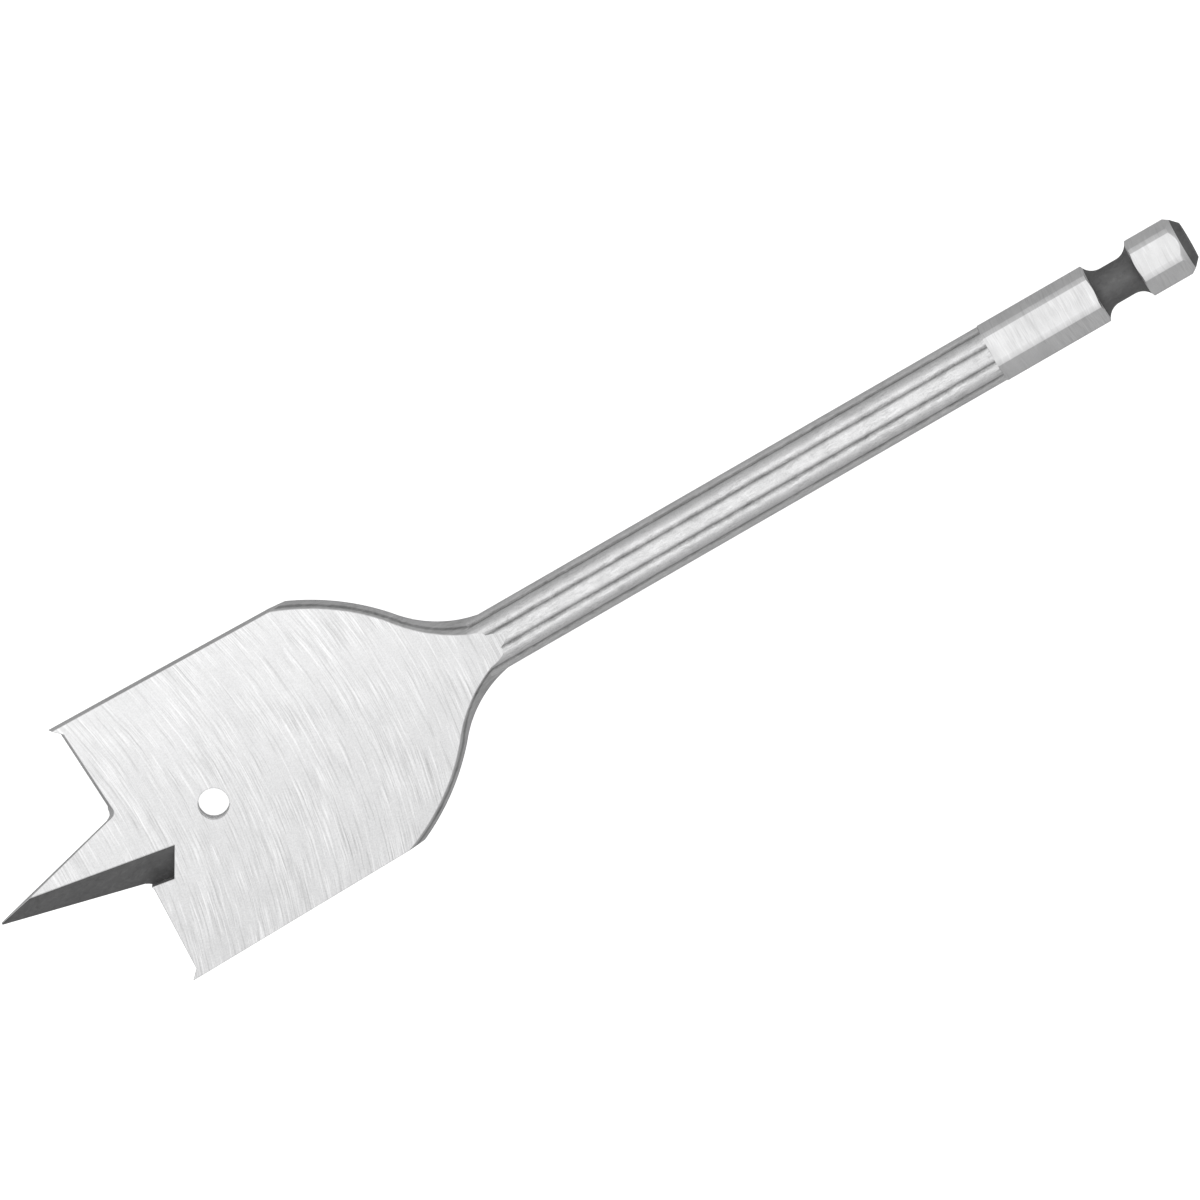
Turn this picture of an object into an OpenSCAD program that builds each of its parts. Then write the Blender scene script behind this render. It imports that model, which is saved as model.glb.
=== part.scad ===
// Spade drill bit: a flat forged blade with a ground centre point, two cutting edges
// and two spurs, drawn down to a reeded shaft with a hexagonal quick-change shank.
// Lengths are in millimetres and angles in degrees. The bit is drawn along +X from the
// tip of its point, with the blade in the XY plane. It is then moved so that the end of
// the shank is at the origin, and rolled to lie as it rests on a bench: on one reed of
// the shaft and on one edge of the blade.

/* [Overall] */
// Length from the tip of the point to the end of the shank
overall_l = 152; // [140:1:400]
// Cutting diameter across the tips of the spurs
cut_d = 32; // [28:0.5:36]

/* [Blade] */
// Thickness between the two ground faces
blade_t = 3; // [2.6:0.1:3.4]
// Length of the side edges behind the tips of the spurs
edge_l = 30.2; // [26:0.1:36]
// Back taper of each side edge
back_taper = 1.1; // [0.5:0.1:1.5]
// Diameter of the hole through the blade
hole_d = 3.5; // [2:0.1:5]
// Distance of the hole behind the tips of the spurs
hole_setback = 12.1; // [10:0.1:18]

/* [Point] */
// Length of the point ahead of the tips of the spurs
point_l = 15.1; // [13:0.1:17]
// Angle of each side of the point to the axis
point_angle = 14.7; // [12:0.1:16]
// Width of the blunt tip
tip_w = 0.22; // [0.1:0.02:0.4]
// Radius of the corner between the point and a cutting edge
corner_r = 0.7; // [0.4:0.1:1]
// Distance from the tip at which the ridge of a hollow crosses the axis
hollow_cross = 10.8; // [9:0.1:12]
// Angle of that ridge to the axis
hollow_skew = 9.7; // [8:0.1:11]
// Length of the ridge behind the crossing
hollow_l = 10.5; // [8:0.1:12]
// Width of a hollow
hollow_w = 3.6; // [3:0.1:4]
// Slope of the floor of a hollow
hollow_slope = 33; // [26:1:35]
// Angle by which the end wall of a hollow leans from square
hollow_end_angle = 21; // [0:1:30]

/* [Cutting edges] */
// Height of a spur ahead of its cutting edge
spur_h = 1.1; // [0.6:0.1:1.6]
// Width of a spur at its root
spur_w = 1; // [0.6:0.1:1.6]
// Angle by which a cutting edge leans forward towards its spur
edge_lean = 2.6; // [0:0.1:4]
// Relief angle behind the cutting edges
relief = 10; // [6:1:14]

/* [Shoulders] */
// Length of the shoulders from the side edges to the shaft
shoulder_l = 20.2; // [18:0.1:26]
// Radius of the round outer part of a shoulder
shoulder_outer_r = 28; // [22:0.5:34]
// Radius of the hollow inner part of a shoulder
shoulder_inner_r = 13.5; // [11:0.5:16]
// Thickness of the square land along the forged rim
rim_land = 0.7; // [0.4:0.1:1.2]
// Draft of the rim above and below its land
rim_draft = 33; // [25:1:38]
// Distance from the start of the shoulders to the foot of the ramp
ramp_setback = 5.3; // [2:0.1:8]
// Radius of the ramp from the ground face up to the shaft
ramp_r = 51; // [35:1:70]

/* [Shaft] */
// Diameter over the reeds
shaft_d = 6.94; // [6.6:0.02:7.4]
// Number of reeds
reeds = 10; // [8:2:14]
// Radius of each reed
reed_r = 1.55; // [1.4:0.05:1.8]
// Turn of the reeds about the axis from the middle of the blade's face
reed_turn = -6; // [-18:0.5:18]
// Length of the tapered ends of the reeds
reed_taper_l = 0.3; // [0.2:0.1:1]

/* [Shank] */
// Length of the hexagonal shank
shank_l = 25.1; // [22:0.1:30]
// Width across the flats
hex_af = 6.35; // [6:0.05:6.4]
// Diameter over the rounded corners
hex_corner_d = 6.85; // [6.5:0.05:7]
// Turn of the flats about the axis from the blade's face
hex_turn = -13; // [-30:1:30]
// Distance of the middle of the retaining groove from the end
groove_setback = 9.1; // [8:0.05:12]
// Diameter at the bottom of the groove
groove_d = 4.37; // [4:0.01:5]
// Length of the flat bottom of the groove
groove_flat_l = 2; // [1:0.1:3]
// Radius of the sides of the groove
groove_r = 1.9; // [1.5:0.1:2.5]
// Length of the taper at the end of the shank
end_taper_l = 1.45; // [1:0.1:2.5]
// Diameter of the flat end face
end_face_d = 4.4; // [3.6:0.1:5]

/* [Hidden] */
$fn = 192;

// Overlap by which cutters run past what they cut
clear = 1;

cut_r = cut_d / 2;
half_t = blade_t / 2;
shaft_r = shaft_d / 2;
shank_start = overall_l - shank_l;

// Stations along the axis, from the tip of the point
hole_u = point_l + hole_setback;
shoulder_u = point_l + edge_l;
neck_u = shoulder_u + shoulder_l;
ramp_u = shoulder_u + ramp_setback;

// Half width of the blade between its tapered side edges
function edge_y(u) = cut_r - (u - point_l) * tan(back_taper);

// Reeds: the radius to their centres, and to the valleys where two of them meet
reed_centre_r = shaft_r - reed_r;
half_pitch = 180 / reeds;
valley_r = reed_centre_r * cos(half_pitch)
    + sqrt(pow(reed_r, 2) - pow(reed_centre_r * sin(half_pitch), 2));

// Depth by which the forged neck and the ends of the reeds sink below what they join
sink = (shaft_r - valley_r) / 2;
// Depth by which a round cutter crosses the line that it is tangent to, for a clean edge
bite = sink / 10;

// Shoulder: the inner arc ends level with the neck. The outer arc starts at the side
// edge and is tangent to the inner one, on the line between their centres.
shoulder_start = [shoulder_u, edge_y(shoulder_u)];
neck_y = valley_r - sink;
inner_c = [neck_u, neck_y + shoulder_inner_r];
centre_span = shoulder_outer_r + shoulder_inner_r;
to_inner = inner_c - shoulder_start;
along_inner = to_inner / norm(to_inner);
outer_back = (pow(shoulder_outer_r, 2) - pow(centre_span, 2) + pow(norm(to_inner), 2)) / (2 * norm(to_inner));
outer_down = sqrt(pow(shoulder_outer_r, 2) - pow(outer_back, 2));
outer_c = shoulder_start + outer_back * along_inner
    + outer_down * [along_inner.y, -along_inner.x];

// Forged rim: its slope, and the height at which it sinks into the shaft at the neck
rim_slope = tan(rim_draft);
rim_foot = neck_y + rim_slope * rim_land / 2;
rim_h = (rim_slope * rim_foot + sqrt(pow(valley_r, 2) * (1 + pow(rim_slope, 2)) - pow(rim_foot, 2)))
    / (1 + pow(rim_slope, 2));

// Front of one wing, drawn square to its relief with the tip of its spur at x = 0
point_back = (point_l + half_t * tan(relief)) * cos(relief) + tip_w / 2 / tan(point_angle);
side_dir = [-cos(point_angle), -sin(point_angle)];
lip_dir = [-sin(edge_lean), cos(edge_lean)];
spur_root = [spur_h, cut_r - spur_w];
inner_x = (spur_root.x + (spur_root.y - point_back * tan(point_angle)) * tan(edge_lean))
    / (1 + tan(point_angle) * tan(edge_lean));
inner_corner = [inner_x, (inner_x + point_back) * tan(point_angle)];
half_corner = (90 + point_angle - edge_lean) / 2;
corner_run = corner_r / tan(half_corner);
corner_out = side_dir + lip_dir;
corner_c = inner_corner + corner_out / norm(corner_out) * corner_r / sin(half_corner);

// Roll at rest: the lowest reed and the lower edge of the blade touch the bench
function lowest_reed(roll) =
    reed_r + max([for (i = [0 : reeds - 1]) reed_centre_r * cos(reed_turn + roll + i * 360 / reeds)]);
function roll_on(height) = asin(height / norm([cut_r, half_t])) - atan(half_t / cut_r);
rest_roll = roll_on(lowest_reed(roll_on(shaft_r)));

// Disc with a square rim, whose wall above and below grows or shrinks in radius
module drafted_disc(centre, radius, slope) {
    draft = slope * (rim_h + clear - rim_land / 2);
    translate(centre)
        rotate_extrude()
            polygon([
                [0, -rim_h - clear],
                [radius + draft, -rim_h - clear],
                [radius, -rim_land / 2],
                [radius, rim_land / 2],
                [radius + draft, rim_h + clear],
                [0, rim_h + clear],
            ]);
}

// What is taken off one shoulder: all that lies outside its outer and inner arcs
module shoulder_cut() {
    reach = 1.3 * centre_span;
    difference() {
        linear_extrude(height = 2 * (rim_h + clear / 2), center = true)
            polygon([outer_c, outer_c + [0, reach], outer_c + reach * (inner_c - outer_c) / centre_span]);
        drafted_disc(outer_c, shoulder_outer_r, -rim_slope);
    }
    drafted_disc(inner_c, shoulder_inner_r + bite, rim_slope);
}

// Forged paddle: tapered side edges and two round shoulders with a drafted rim
module paddle() {
    difference() {
        linear_extrude(height = 2 * rim_h, center = true)
            polygon([
                [0, edge_y(0)],
                [neck_u, edge_y(neck_u)],
                [neck_u, -edge_y(neck_u)],
                [0, -edge_y(0)],
            ]);
        shoulder_cut();
        mirror([0, 1, 0]) shoulder_cut();
    }
}

// Reeded shaft, from inside the paddle to the shank, where the reeds end in a small step and the
// core goes on into the hexagon
module reeded_shaft() {
    length = shank_start - shoulder_u;
    core_r = reed_centre_r + reed_r / 2;
    taper_r = hex_corner_d / 2 + sink;
    taper_run = reed_taper_l * (shaft_r + clear - taper_r) / (shaft_r - taper_r);
    translate([shoulder_u, 0, 0])
        rotate([0, 90, 0]) {
            cylinder(r = core_r, h = length + clear);
            intersection() {
                linear_extrude(height = length)
                    for (i = [0 : reeds - 1])
                        rotate(180 + reed_turn + i * 360 / reeds)
                            translate([reed_centre_r, 0]) circle(r = reed_r);
                rotate_extrude()
                    polygon([
                        [0, -clear],
                        [shaft_r + clear, -clear],
                        [shaft_r + clear, length - taper_run],
                        [taper_r, length],
                        [0, length],
                    ]);
            }
        }
}

// Ring that cuts the retaining groove, with round sides
module groove_cut() {
    bottom_r = groove_d / 2;
    side_r = bottom_r + groove_r;
    mouth_l = groove_flat_l + 2 * groove_r;
    rotate_extrude() {
        for (side = [-1, 1])
            translate([side_r, side * groove_flat_l / 2]) circle(r = groove_r);
        translate([bottom_r, -groove_flat_l / 2]) square([groove_r + clear, groove_flat_l]);
        translate([side_r, -mouth_l / 2]) square([hex_af, mouth_l]);
    }
}

// Hexagonal shank with rounded corners, a retaining groove and a tapered end
module hex_shank() {
    round_r = hex_corner_d / 2;
    translate([shank_start, 0, 0])
        rotate([0, 90, 0])
            difference() {
                intersection() {
                    rotate(30 + hex_turn)
                        cylinder(d = hex_af / cos(30), h = shank_l, $fn = 6);
                    rotate_extrude()
                        polygon([
                            [0, 0],
                            [round_r, 0],
                            [round_r, shank_l - end_taper_l],
                            [end_face_d / 2, shank_l],
                            [0, shank_l],
                        ]);
                }
                translate([0, 0, shank_l - groove_setback]) groove_cut();
            }
}

// What the grinding of one face takes off: a flat that ramps up to the top of the shaft
module face_cut() {
    width = cut_d + 4 * clear;
    translate([-2 * clear, -width / 2, half_t])
        cube([ramp_u + 2 * clear, width, shaft_r]);
    translate([ramp_u, 0, half_t + ramp_r])
        rotate([90, 0, 0])
            cylinder(r = ramp_r, h = width, center = true);
}

// What is ground off ahead of one wing: beside the point and in front of the lip, with
// the wall leaning back from the leading face by the relief angle
module wing_cut() {
    reach = point_l + 4 * clear;
    translate([point_l, 0, -half_t])
        rotate([0, relief, 0])
            linear_extrude(height = reach, center = true) {
                polygon([
                    inner_corner + side_dir * (2 * reach),
                    inner_corner + side_dir * corner_run,
                    inner_corner + lip_dir * corner_run,
                    spur_root,
                    spur_root + [-spur_h, spur_w] * (1 + clear),
                    [-reach - clear, cut_r + reach],
                ]);
                translate(corner_c) circle(r = corner_r + bite);
            }
}

// Hollow ground into one face of the point, which gives its leading edge a rake
module point_hollow() {
    reach = hollow_cross + 4 * clear;
    translate([hollow_cross, 0, half_t])
        rotate([0, 0, -hollow_skew])
            intersection() {
                linear_extrude(height = 2 * blade_t, center = true)
                    polygon([
                        [-reach, clear],
                        [hollow_l + clear * tan(hollow_end_angle), clear],
                        [hollow_l - hollow_w * tan(hollow_end_angle), -hollow_w],
                        [-reach, -hollow_w],
                    ]);
                rotate([hollow_slope, 0, 0])
                    translate([-2 * reach, -2 * hollow_w, 0])
                        cube([4 * reach, 4 * hollow_w, 2 * blade_t]);
            }
}

// Repeats what is ground on one side after half a turn about the axis
module both_sides() {
    children();
    rotate([180, 0, 0]) children();
}

module spade_bit() {
    color("lightgray")
        rotate([rest_roll, 0, 0])
            translate([-overall_l, 0, 0]) {
                difference() {
                    union() {
                        paddle();
                        reeded_shaft();
                    }
                    both_sides() face_cut();
                    both_sides() wing_cut();
                    both_sides() point_hollow();
                    translate([hole_u, 0, 0]) cylinder(d = hole_d, h = 2 * blade_t, center = true);
                }
                hex_shank();
            }
}

spade_bit();
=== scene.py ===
"""Spade drill bit: a ground blade with a centre point, on a reeded shaft with a hexagonal shank.

The bit is modelled as it is made. A forged blank is cut by blocks and turned shapes, one for each
grinding or milling step, and every cut surface takes the finish of the step that made it. Sizes are
in millimetres from the tip of the point along +X, with the blade in the XY plane. At the end the
bit is brought to metres, rolled as it rests on a bench, and moved into the frame of the CAD model.
"""

import logging
import math
from dataclasses import astuple, dataclass, field
from enum import Enum
from typing import Callable, Iterable, Sequence

import bpy
from mathutils import Matrix, Vector

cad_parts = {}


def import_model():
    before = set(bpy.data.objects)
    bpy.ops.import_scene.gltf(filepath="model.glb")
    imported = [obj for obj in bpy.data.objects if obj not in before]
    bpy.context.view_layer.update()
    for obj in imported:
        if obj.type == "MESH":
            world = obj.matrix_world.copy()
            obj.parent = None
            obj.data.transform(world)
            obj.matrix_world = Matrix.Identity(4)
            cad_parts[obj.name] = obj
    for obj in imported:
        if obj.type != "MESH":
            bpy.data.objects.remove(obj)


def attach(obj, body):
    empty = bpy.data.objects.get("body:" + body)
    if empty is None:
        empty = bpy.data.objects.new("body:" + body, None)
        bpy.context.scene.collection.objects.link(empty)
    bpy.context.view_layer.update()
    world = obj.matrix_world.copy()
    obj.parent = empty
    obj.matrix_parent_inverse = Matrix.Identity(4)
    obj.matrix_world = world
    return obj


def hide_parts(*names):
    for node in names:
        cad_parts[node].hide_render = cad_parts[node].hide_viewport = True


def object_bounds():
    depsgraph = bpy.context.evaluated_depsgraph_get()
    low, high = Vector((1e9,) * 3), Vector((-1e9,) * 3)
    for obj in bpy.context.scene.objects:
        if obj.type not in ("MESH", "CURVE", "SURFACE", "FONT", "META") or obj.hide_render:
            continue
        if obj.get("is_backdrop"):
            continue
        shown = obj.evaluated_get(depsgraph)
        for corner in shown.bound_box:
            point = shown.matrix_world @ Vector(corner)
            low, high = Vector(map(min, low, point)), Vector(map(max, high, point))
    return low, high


LOG = logging.getLogger("spade_bit")
MM = 0.001

# How far a cutter reaches past what it cuts; longer reaches are multiples of it
OVER = 1.0
# Points that are closer than this are the same point
NEAR = 0.001
# A face whose normal rises by less than this stands upright
UPRIGHT = 0.1
# The middle of a value that runs from 0 to 1
MIDDLE = 0.5

Profile = Sequence[tuple[float, float]]


class Cut(Enum):
    """What a boolean modifier does with its second shape."""

    ADD = "UNION"
    REMOVE = "DIFFERENCE"
    KEEP_COMMON = "INTERSECT"


class Workshop:
    """Blender's modelling operators, used on one piece at a time."""

    @staticmethod
    def clear() -> None:
        """Leaves edit mode and deselects everything."""
        if bpy.context.mode != "OBJECT":
            bpy.ops.object.mode_set(mode="OBJECT")
        bpy.ops.object.select_all(action="DESELECT")

    @classmethod
    def take(cls, piece: bpy.types.Object) -> None:
        """Makes a piece the only selected and the active one.

        Args:
            piece: The piece.
        """
        cls.clear()
        piece.select_set(True)
        bpy.context.view_layer.objects.active = piece

    @classmethod
    def edit(cls, piece: bpy.types.Object, all_selected: bool = True) -> None:
        """Opens a piece in edit mode.

        Args:
            piece: The piece.
            all_selected: Whether all of it is selected, or nothing.
        """
        cls.take(piece)
        bpy.ops.object.mode_set(mode="EDIT")
        bpy.ops.mesh.select_all(action="SELECT" if all_selected else "DESELECT")

    @staticmethod
    def done(piece: bpy.types.Object) -> bpy.types.Object:
        """Turns the faces of a piece outwards and leaves edit mode.

        Args:
            piece: The piece that is open in edit mode.

        Returns:
            The same piece.
        """
        bpy.ops.mesh.select_all(action="SELECT")
        bpy.ops.mesh.normals_make_consistent(inside=False)
        bpy.ops.object.mode_set(mode="OBJECT")
        return piece

    @staticmethod
    def name_new(name: str, finish: bpy.types.Material) -> bpy.types.Object:
        """Names the object just added, settles its place in its mesh and gives it a finish.

        Args:
            name: The name of the piece.
            finish: The material of all its faces.

        Returns:
            The new piece.
        """
        piece = bpy.context.object
        piece.name = name
        bpy.ops.object.transform_apply(location=True, rotation=True, scale=True)
        piece.data.materials.append(finish)
        return piece

    @staticmethod
    def extrude_up(height: float) -> None:
        """Extrudes what is selected along +Z."""
        bpy.ops.mesh.extrude_region_move(TRANSFORM_OT_translate={"value": (0, 0, height)})

    @classmethod
    def block(
        cls, name: str, low: Sequence[float], high: Sequence[float], finish: bpy.types.Material
    ) -> bpy.types.Object:
        """Makes a block between two corners.

        Args:
            name: The name of the block.
            low: Its lowest corner.
            high: Its highest corner.
            finish: The material of its faces.

        Returns:
            The block.
        """
        cls.clear()
        bpy.ops.mesh.primitive_cube_add(size=1, location=(Vector(low) + Vector(high)) / 2)
        bpy.context.object.scale = Vector(high) - Vector(low)
        return cls.name_new(name, finish)

    @classmethod
    def trim(
        cls, piece: bpy.types.Object, point: Sequence[float], outward: Sequence[float]
    ) -> None:
        """Slices off what lies beyond a plane and closes the cut.

        Args:
            piece: The piece to slice.
            point: A point of the plane.
            outward: The normal of the plane, towards what is taken off.
        """
        cls.edit(piece)
        bpy.ops.mesh.bisect(plane_co=point, plane_no=outward, use_fill=True, clear_outer=True)
        cls.done(piece)

    @classmethod
    def turned(
        cls, name: str, profile: Profile, sides: int, finish: bpy.types.Material
    ) -> bpy.types.Object:
        """Makes a solid of revolution about +Z.

        Args:
            name: The name of the solid.
            profile: Pairs of radius and height, from the lowest to the highest.
            sides: The number of sides round the axis.
            finish: The material of its faces.

        Returns:
            The turned solid.
        """
        cls.clear()
        radius, height = profile[0]
        bpy.ops.mesh.primitive_circle_add(
            vertices=sides, radius=radius, fill_type="NGON", location=(0, 0, height)
        )
        piece = cls.name_new(name, finish)
        cls.edit(piece)
        for wide, high in profile[1:]:
            cls.extrude_up(high - height)
            share = wide / radius
            bpy.ops.transform.resize(value=(share, share, 1), center_override=(0, 0, high))
            radius, height = wide, high
        return cls.done(piece)

    @classmethod
    def place(
        cls,
        piece: bpy.types.Object,
        turn: Sequence[float] = (0, 0, 0),
        move: Sequence[float] = (0, 0, 0),
        scale: float = 1,
    ) -> bpy.types.Object:
        """Scales, turns and then moves a piece, and keeps the result in its mesh.

        Args:
            piece: The piece to place.
            turn: Turns about X, Y and Z in degrees, in that order.
            move: The way that it moves afterwards.
            scale: The factor on its size.

        Returns:
            The same piece.
        """
        cls.take(piece)
        piece.scale = (scale, scale, scale)
        piece.rotation_euler = [math.radians(angle) for angle in turn]
        piece.location = move
        bpy.ops.object.transform_apply(location=True, rotation=True, scale=True)
        return piece

    @classmethod
    def half_turn_copy(cls, piece: bpy.types.Object) -> bpy.types.Object:
        """Copies a piece with its own mesh and turns the copy by half a turn about X.

        Args:
            piece: The piece to copy.

        Returns:
            The copy.
        """
        cls.take(piece)
        bpy.ops.object.duplicate(linked=False)
        return cls.place(bpy.context.object, turn=(180, 0, 0))

    @classmethod
    def combine(cls, piece: bpy.types.Object, tool: bpy.types.Object, cut: Cut) -> None:
        """Combines a piece with a second shape, which is used up. Cut faces keep their finish.

        Args:
            piece: The piece that stays.
            tool: The second shape.
            cut: What is done with it.
        """
        cls.take(piece)
        step = piece.modifiers.new("cut", "BOOLEAN")
        step.solver = "EXACT"
        step.operation = cut.value
        step.object = tool
        step.material_mode = "TRANSFER"
        bpy.ops.object.modifier_apply(modifier=step.name)
        bpy.data.objects.remove(tool)

    @classmethod
    def both_sides(
        cls, piece: bpy.types.Object, tool: bpy.types.Object, cut: Cut = Cut.REMOVE
    ) -> None:
        """Combines a piece with a shape, and again after half a turn about the axis.

        Args:
            piece: The piece that stays.
            tool: The second shape.
            cut: What is done with it.
        """
        other = cls.half_turn_copy(tool)
        cls.combine(piece, tool, cut)
        cls.combine(piece, other, cut)

    @classmethod
    def select_edges(
        cls,
        piece: bpy.types.Object,
        chosen: Callable[[bpy.types.MeshEdge], bool],
        mode: str = "VERT",
    ) -> None:
        """Opens a piece in edit mode with only the edges selected that a test chooses.

        Args:
            piece: The piece.
            chosen: The test on an edge.
            mode: What edit mode selects from then on.
        """
        cls.edit(piece, all_selected=False)
        bpy.ops.mesh.select_mode(type=mode)
        bpy.ops.object.mode_set(mode="OBJECT")
        for edge in piece.data.edges:
            edge.select = chosen(edge)
        bpy.ops.object.mode_set(mode="EDIT")

    @classmethod
    def assign(
        cls,
        piece: bpy.types.Object,
        finish: bpy.types.Material,
        chosen: Callable[[bpy.types.MeshPolygon], bool],
    ) -> None:
        """Gives a finish to the faces that a test chooses.

        Args:
            piece: The piece.
            finish: The material for those faces.
            chosen: The test, on a face's place and normal.
        """
        if finish.name not in piece.data.materials:
            piece.data.materials.append(finish)
        cls.edit(piece, all_selected=False)
        bpy.ops.mesh.select_mode(type="FACE")
        bpy.ops.object.mode_set(mode="OBJECT")
        for face in piece.data.polygons:
            face.select = chosen(face)
        piece.active_material_index = piece.data.materials.find(finish.name)
        bpy.ops.object.mode_set(mode="EDIT")
        bpy.ops.object.material_slot_assign()
        bpy.ops.mesh.select_mode(type="VERT")
        bpy.ops.object.mode_set(mode="OBJECT")


def direction(degrees: float) -> Vector:
    """Returns the unit vector in the XY plane at an angle from +X."""
    return Vector((math.cos(math.radians(degrees)), math.sin(math.radians(degrees)), 0))


def tangent(degrees: float) -> float:
    """Returns the tangent of an angle in degrees."""
    return math.tan(math.radians(degrees))


@dataclass(frozen=True)
class Pattern:
    """A noise.

    Attributes:
        stretch: The factors on the vector that it is drawn on.
        detail: How many finer layers it has.
        roughness: How much the finer layers count.
    """

    stretch: tuple[float, float, float]
    detail: float
    roughness: float


@dataclass(frozen=True)
class Step:
    """A soft step, which takes a value from one level to another.

    Attributes:
        low: The value where the step starts.
        high: The value where it ends.
        bottom: The level before it.
        top: The level past it.
    """

    low: float
    high: float
    bottom: float = 0.0
    top: float = 1.0


class Sheet:
    """A node tree, with short ways to add nodes and link them."""

    def __init__(self, tree: bpy.types.NodeTree) -> None:
        """Takes over a node tree."""
        self.tree = tree

    def node(
        self, kind: str, inputs: dict[str | int, object] | None = None, **settings: object
    ) -> bpy.types.Node:
        """Adds a node.

        Args:
            kind: The node's type, without its usual beginning.
            inputs: What its inputs take: a socket is linked, and anything else is set as a value.
            settings: Properties of the node.

        Returns:
            The new node.
        """
        node = self.tree.nodes.new("ShaderNode" + kind)
        for name, value in settings.items():
            setattr(node, name, value)
        for key, value in (inputs or {}).items():
            if isinstance(value, bpy.types.NodeSocket):
                self.tree.links.new(value, node.inputs[key])
            else:
                node.inputs[key].default_value = value
        return node

    def group(
        self, tree: bpy.types.NodeTree, vector: bpy.types.NodeSocket
    ) -> Sequence[bpy.types.NodeSocket]:
        """Places a node group on a vector.

        Args:
            tree: The node group.
            vector: The vector that it reads.

        Returns:
            Its outputs.
        """
        node = self.node("Group", node_tree=tree)
        self.tree.links.new(vector, node.inputs["Vector"])
        return node.outputs

    def math(self, operation: str, *values: object) -> bpy.types.NodeSocket:
        """Adds a Math node and returns its result."""
        return self.node("Math", dict(enumerate(values)), operation=operation).outputs[0]

    def centred(self, value: bpy.types.NodeSocket, width: float) -> bpy.types.NodeSocket:
        """Moves a value between 0 and 1 to either side of 0, with a width, and returns it."""
        return self.math("MULTIPLY", self.math("SUBTRACT", value, MIDDLE), width)

    def scaled(self, vector: bpy.types.NodeSocket, scale: Sequence[float]) -> bpy.types.NodeSocket:
        """Scales a vector and returns the result."""
        return self.node("VectorMath", {0: vector, 1: scale}, operation="MULTIPLY").outputs[0]

    def noise(self, vector: bpy.types.NodeSocket, pattern: Pattern) -> bpy.types.NodeSocket:
        """Draws a noise.

        Args:
            vector: The vector that it is drawn on.
            pattern: The noise.

        Returns:
            Its value.
        """
        inputs = {
            "Vector": self.scaled(vector, pattern.stretch),
            "Scale": 1.0,
            "Detail": pattern.detail,
            "Roughness": pattern.roughness,
        }
        return self.node("TexNoise", inputs).outputs[0]

    def step(self, value: bpy.types.NodeSocket, step: Step) -> bpy.types.NodeSocket:
        """Takes a value through a soft step and returns the result."""
        inputs = {0: value, 1: step.low, 2: step.high, 3: step.bottom, 4: step.top}
        return self.node("MapRange", inputs, interpolation_type="SMOOTHSTEP").outputs[0]


class Effect:
    """A node group that several finishes share, with one vector input."""

    @staticmethod
    def start(name: str, outputs: Iterable[str]) -> tuple[Sheet, bpy.types.Node, bpy.types.Node]:
        """Starts the group.

        Args:
            name: The name of the group.
            outputs: The names of its outputs, which are values.

        Returns:
            The group's sheet, its input node and its output node.
        """
        tree = bpy.data.node_groups.new(name, "ShaderNodeTree")
        tree.interface.new_socket("Vector", in_out="INPUT", socket_type="NodeSocketVector")
        for output in outputs:
            tree.interface.new_socket(output, in_out="OUTPUT", socket_type="NodeSocketFloat")
        return Sheet(tree), tree.nodes.new("NodeGroupInput"), tree.nodes.new("NodeGroupOutput")


@dataclass(frozen=True)
class WheelMarks(Effect):
    """The marks of a grinding wheel, drawn across the vector's X.

    Attributes:
        wander: How the marks swerve.
        wander_w: How far they swerve.
        fine: The fine lines.
        fine_step: Their contrast.
        patch: The patches that the fine lines come in.
        patch_step: How strong the lines are outside and inside the patches.
        broad: The broad bands.
        broad_step: Their contrast.
        scratch: The scratches.
        light_step: Which of them are light.
        dark_step: Which of them are dark.
    """

    wander: Pattern = Pattern((0.05, 1.4, 0.05), 1.0, 0.5)
    wander_w: float = 2.2
    fine: Pattern = Pattern((1.0, 1.0, 1.0), 2.0, 0.5)
    fine_step: Step = Step(0.3, 0.7, -0.5, 0.5)
    patch: Pattern = Pattern((0.022, 0.75, 0.022), 2.0, 0.5)
    patch_step: Step = Step(0.42, 0.6, 0.1, 1.0)
    broad: Pattern = Pattern((0.12, 0.6, 0.12), 3.0, 0.6)
    broad_step: Step = Step(0.3, 0.7)
    scratch: Pattern = Pattern((0.6, 0.8, 0.6), 1.0, 0.4)
    light_step: Step = Step(0.60, 0.70)
    dark_step: Step = Step(0.30, 0.40, 1.0, 0.0)

    def build(self) -> bpy.types.NodeTree:
        """Builds the group.

        Returns:
            The group, with patches of fine lines, broad bands, and light and dark scratches.
        """
        sheet, source, result = self.start("grinding_marks", ("Fine", "Broad", "Scratch"))
        vector = source.outputs["Vector"]
        swerve = sheet.centred(sheet.noise(vector, self.wander), self.wander_w)
        move = sheet.node("CombineXYZ", {0: swerve}).outputs[0]
        bent = sheet.node("VectorMath", {0: vector, 1: move}, operation="ADD").outputs[0]
        lines = sheet.step(sheet.noise(bent, self.fine), self.fine_step)
        worked = sheet.step(sheet.noise(bent, self.patch), self.patch_step)
        fine = sheet.math("ADD", sheet.math("MULTIPLY", lines, worked), MIDDLE)
        broad = sheet.step(sheet.noise(bent, self.broad), self.broad_step)
        scratch = sheet.noise(bent, self.scratch)
        light = sheet.step(scratch, self.light_step)
        dark = sheet.step(scratch, self.dark_step)
        links = sheet.tree.links
        links.new(fine, result.inputs["Fine"])
        links.new(broad, result.inputs["Broad"])
        links.new(sheet.math("SUBTRACT", light, dark), result.inputs["Scratch"])
        return sheet.tree


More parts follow.
